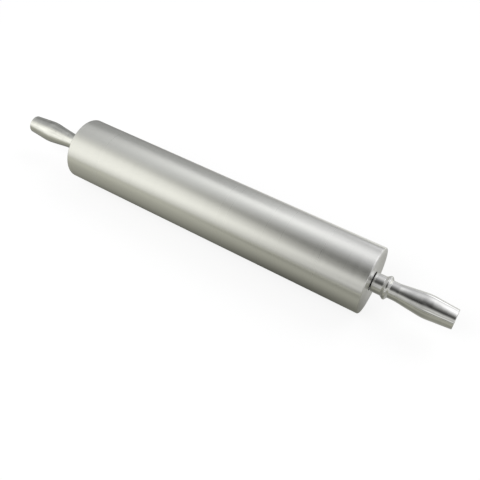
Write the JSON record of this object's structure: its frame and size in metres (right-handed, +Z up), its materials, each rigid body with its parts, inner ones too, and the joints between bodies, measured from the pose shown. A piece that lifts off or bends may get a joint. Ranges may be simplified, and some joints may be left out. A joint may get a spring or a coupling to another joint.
{
  "type": "rolling pin",
  "caption": "Straight aluminium rolling pin whose barrel spins on sealed ball bearings round a fixed axle, with a polished cast handle at each end.",
  "frame": {"origin": "middle of the barrel, on the axis it spins about", "axes": "+X along the spin axis to the right handle, +Y to the back, +Z up; the barrel rests on a surface at z = -44.45 mm"},
  "size_m": [0.666, 0.0888, 0.0888],
  "materials": {
    "barrel_aluminium": "satin, turned, with fine lines round the barrel",
    "plate_aluminium": "faced on the lathe, with fine rings round the hole",
    "handle_aluminium": "cast and polished bright, with faint waviness",
    "axle_steel": "ground",
    "bearing_steel": "ground",
    "ball_steel": "polished",
    "cage_plastic": "moulded",
    "seal_rubber": "moulded, matt black",
    "ring_steel": "oiled spring steel",
    "spacer_steel": "blackened"
  },
  "bodies": {
    "axle": {"axle_rod": "axle_steel", "handle_left": "handle_aluminium", "handle_right": "handle_aluminium", "spacer_left": "spacer_steel", "spacer_right": "spacer_steel", "bearing_inner_race_left": "bearing_steel", "bearing_inner_race_right": "bearing_steel"},
    "barrel": {"barrel_tube": "barrel_aluminium", "end_plate_left": "plate_aluminium", "end_plate_right": "plate_aluminium", "bearing_outer_race_left": "bearing_steel", "bearing_outer_race_right": "bearing_steel", "bearing_outboard_seal_left": "seal_rubber", "bearing_outboard_seal_right": "seal_rubber", "bearing_inboard_seal_left": "seal_rubber", "bearing_inboard_seal_right": "seal_rubber", "retaining_ring_left": "ring_steel", "retaining_ring_right": "ring_steel"},
    "ball_train_left": {"bearing_balls_left": "ball_steel", "bearing_cage_left": "cage_plastic"},
    "ball_train_right": {"bearing_balls_right": "ball_steel", "bearing_cage_right": "cage_plastic"}
  },
  "joints": [
    {"name": "barrel_spin", "type": "hinge", "parent": "axle", "child": "barrel", "pos_m": [0, 0, 0], "axis": [1, 0, 0], "continuous": true},
    {"name": "ball_train_left_spin", "type": "hinge", "parent": "axle", "child": "ball_train_left", "pos_m": [-0.2206, 0, 0], "axis": [1, 0, 0], "continuous": true},
    {"name": "ball_train_right_spin", "type": "hinge", "parent": "axle", "child": "ball_train_right", "pos_m": [0.2206, 0, 0], "axis": [1, 0, 0], "continuous": true}
  ],
  "couplings": [
    {"joint": "ball_train_left_spin", "follows": "barrel_spin", "ratio": 0.6353},
    {"joint": "ball_train_right_spin", "follows": "barrel_spin", "ratio": 0.6353}
  ]
}
